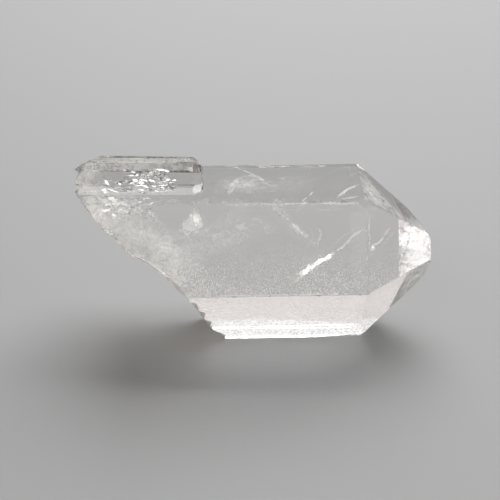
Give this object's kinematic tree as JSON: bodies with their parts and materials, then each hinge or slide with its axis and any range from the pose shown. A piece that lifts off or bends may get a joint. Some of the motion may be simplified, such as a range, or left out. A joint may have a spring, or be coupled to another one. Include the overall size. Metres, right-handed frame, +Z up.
{
  "type": "quartz point",
  "caption": "Clear hexagonal quartz point lying on a prism face, with an oblique broken end and a small parallel crystal grown on top.",
  "frame": {"origin": "under the middle of the crystal's box, at the height of the base face that it rests on", "axes": "+X along the crystal's axis towards its point, +Z up from the base face, -Y towards the front face"},
  "size_m": [0.082, 0.0356, 0.0452],
  "materials": {
    "clear_quartz": "colourless see-through quartz, glossy natural faces, frosted ledged break, milky veils and bright internal cracks"
  },
  "bodies": {
    "root": {"quartz_point": "clear_quartz"}
  },
  "joints": []
}
